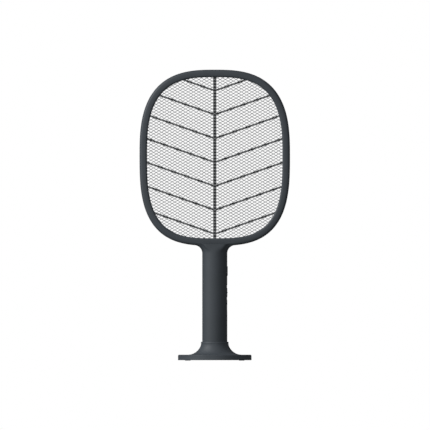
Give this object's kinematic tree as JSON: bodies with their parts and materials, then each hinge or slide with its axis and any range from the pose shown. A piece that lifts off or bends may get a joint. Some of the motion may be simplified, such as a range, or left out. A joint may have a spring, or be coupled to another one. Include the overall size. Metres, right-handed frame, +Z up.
{
  "type": "electric fly swatter",
  "caption": "Hand-held electric fly swatter with a rounded net head, leaf-vein ribs behind the net and a round handle, standing in a flared socket on a round plate.",
  "frame": {"origin": "middle of the floor under the stand's feet, on the axis of the handle", "axes": "+Z up along the handle, +X to the right where the press button and the slide switch are, -Y out of the front net"},
  "size_m": [0.215, 0.105, 0.4156],
  "materials": {
    "shell_plastic": "moulded ABS, fine spark texture, dark blue-grey",
    "stand_plastic": "moulded ABS, fine spark texture, dark blue-grey",
    "cap_plastic": "moulded ABS, plain",
    "control_plastic": "moulded ABS, smooth satin",
    "net_metal": "expanded sheet, bright, slightly dulled",
    "skeleton_plastic": "moulded black nylon",
    "screw_steel": "zinc plated",
    "weight_steel": "stamped sheet",
    "foot_rubber": "soft matt rubber",
    "cover_plastic": "moulded ABS, plain",
    "cell_sleeve": "shrink sleeve over a steel can",
    "tab_nickel": "nickel strip",
    "lead_insulation": "silicone insulation",
    "board_laminate": "glass-epoxy laminate with green solder mask",
    "core_ferrite": "sintered ferrite",
    "winding_copper": "enamelled copper under clear tape",
    "capacitor_film": "dipped epoxy",
    "component_black": "moulded epoxy",
    "resistor_coat": "lacquered",
    "switch_metal": "tinned steel",
    "lens_clear": "translucent polycarbonate",
    "lamp_resin": "clear resin over a white package"
  },
  "bodies": {
    "stand": {"stand_shell": "stand_plastic", "stand_cover": "cover_plastic", "stand_weight": "weight_steel", "stand_screws": "screw_steel", "stand_feet": "foot_rubber"},
    "swatter": {"front_shell": "shell_plastic", "rear_shell": "shell_plastic", "handle_end_cap": "cap_plastic", "front_net": "net_metal", "high_voltage_net": "net_metal", "rear_net": "net_metal", "front_skeleton": "skeleton_plastic", "rear_skeleton": "skeleton_plastic", "rim_screws": "screw_steel", "handle_screws": "screw_steel", "push_switch_body": "component_black", "slide_switch_body": "switch_metal", "indicator_lens": "lens_clear", "indicator_lamp": "lamp_resin", "charging_socket": "switch_metal", "circuit_board": "board_laminate", "transformer_core": "core_ferrite", "transformer_winding": "winding_copper", "high_voltage_capacitor": "capacitor_film", "rectifier_diodes": "component_black", "power_transistor": "component_black", "resistors": "resistor_coat", "lithium_cell": "cell_sleeve", "cell_tabs": "tab_nickel", "cell_leads": "lead_insulation", "net_leads": "lead_insulation"},
    "press_button": {"press_button": "control_plastic", "push_switch_plunger": "component_black"},
    "slide_knob": {"slide_knob": "control_plastic", "slide_switch_lever": "component_black"}
  },
  "joints": [
    {"name": "swatter_lift", "type": "slide", "parent": "stand", "child": "swatter", "axis": [0, 0, 1], "range_m": [0, 0.06]},
    {"name": "button_press", "type": "slide", "parent": "swatter", "child": "press_button", "axis": [-1, 0, 0], "range_m": [0, 0.0005], "stiffness_N_per_m": 3000, "springref_m": -0.0003},
    {"name": "switch_slide", "type": "slide", "parent": "swatter", "child": "slide_knob", "axis": [0, 0, 1], "range_m": [-0.0025, 0.0025]}
  ]
}
